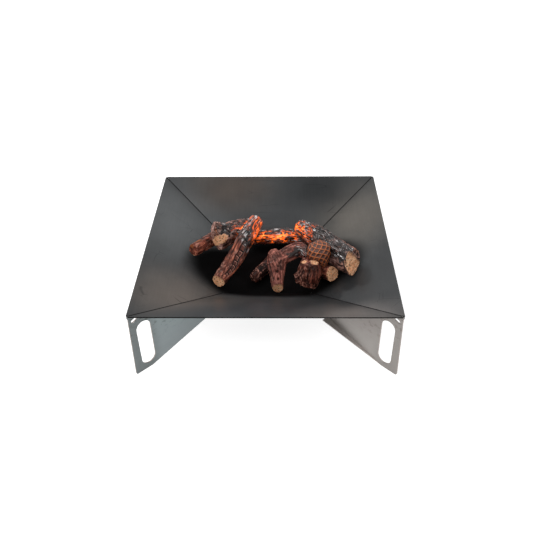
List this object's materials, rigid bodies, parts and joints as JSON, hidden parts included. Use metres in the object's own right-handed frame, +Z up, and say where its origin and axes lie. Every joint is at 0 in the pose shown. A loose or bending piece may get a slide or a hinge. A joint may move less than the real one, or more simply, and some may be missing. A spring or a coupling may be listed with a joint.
{
  "type": "wood burning fire pit",
  "caption": "Square flat-pack fire pit: shallow sloped sheet-steel bowl on crossing arched leg plates with hand slots, holding a pile of logs and a pine cone.",
  "frame": {"origin": "centre of the part on the ground, under the middle of the bowl, where the leg plates cross", "axes": "+Z up, +X to the right and +Y to the back as the picture shows it; the bowl's sides run along X and Y and the leg plates along the diagonals"},
  "size_m": [0.6054, 0.6054, 0.211],
  "materials": {
    "bowl_steel": "dark hot-rolled mill scale with faint rolling streaks and soot under the logs",
    "leg_steel": "raw grey sheet steel with faint smudges and dark specks",
    "bark": "cracked red-brown bark, charred and glossy towards the fire, pale at sawn and torn ends",
    "cut_wood": "matt pale end grain with dark pores",
    "cone_scales": "matt orange-brown scales with pale rims"
  },
  "bodies": {
    "leg_lower": {"leg_plate_lower": "leg_steel"},
    "leg_upper": {"leg_plate_upper": "leg_steel"},
    "bowl": {"bowl": "bowl_steel"},
    "log_pile": {"log_far_left": "bark", "log_split_left": "bark", "log_front_left": "bark", "log_low_centre": "bark", "log_forked_front": "bark", "log_stump_right": "bark", "log_small_right": "bark", "log_large_right": "bark", "log_hidden_back": "bark", "pine_cone": "cone_scales"}
  },
  "joints": [
    {"name": "leg_upper_lift", "type": "slide", "parent": "leg_lower", "child": "leg_upper", "axis": [0, 0, 1], "range_m": [0, 0.12]},
    {"name": "bowl_lift", "type": "slide", "parent": "leg_upper", "child": "bowl", "axis": [0, 0, 1], "range_m": [0, 0.2]},
    {"name": "log_pile_lift", "type": "slide", "parent": "bowl", "child": "log_pile", "axis": [0, 0, 1], "range_m": [0, 0.2]}
  ]
}
